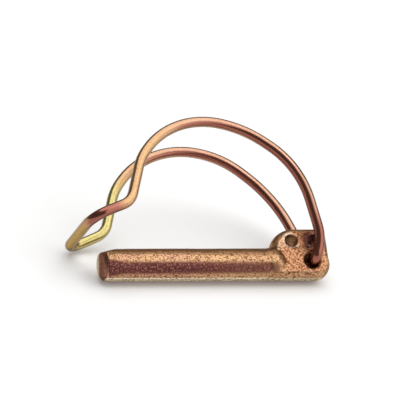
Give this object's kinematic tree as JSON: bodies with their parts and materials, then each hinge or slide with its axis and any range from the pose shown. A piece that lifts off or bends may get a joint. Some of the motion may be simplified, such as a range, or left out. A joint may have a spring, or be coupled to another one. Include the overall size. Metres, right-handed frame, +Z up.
{
  "type": "lynch pin",
  "caption": "Forged round locking pin with a flat holed lug and a springy wire bow that swings round its tip.",
  "frame": {"origin": "on the pin's axis, where the neck behind the lug starts and the usable shank ends", "axes": "+X along the pin from its tip towards the head, +Z up as the part lies on a floor on its shank and one leg of its bow; the arch of the bow leans towards +Y and up"},
  "size_m": [0.0818, 0.0478, 0.0426],
  "materials": {
    "forged_pin": "drop-forged steel, zinc plated with yellow iridescent chromate",
    "spring_wire": "drawn spring-steel wire, zinc plated with yellow iridescent chromate"
  },
  "bodies": {
    "pin": {"pin_body": "forged_pin"},
    "bow": {"wire_bow": "spring_wire"}
  },
  "joints": [
    {"name": "bow_swing", "type": "hinge", "parent": "pin", "child": "bow", "pos_m": [0.0147, 0, 0], "axis": [0, -0.6101, 0.7923], "range_deg": [-180, 16]}
  ]
}
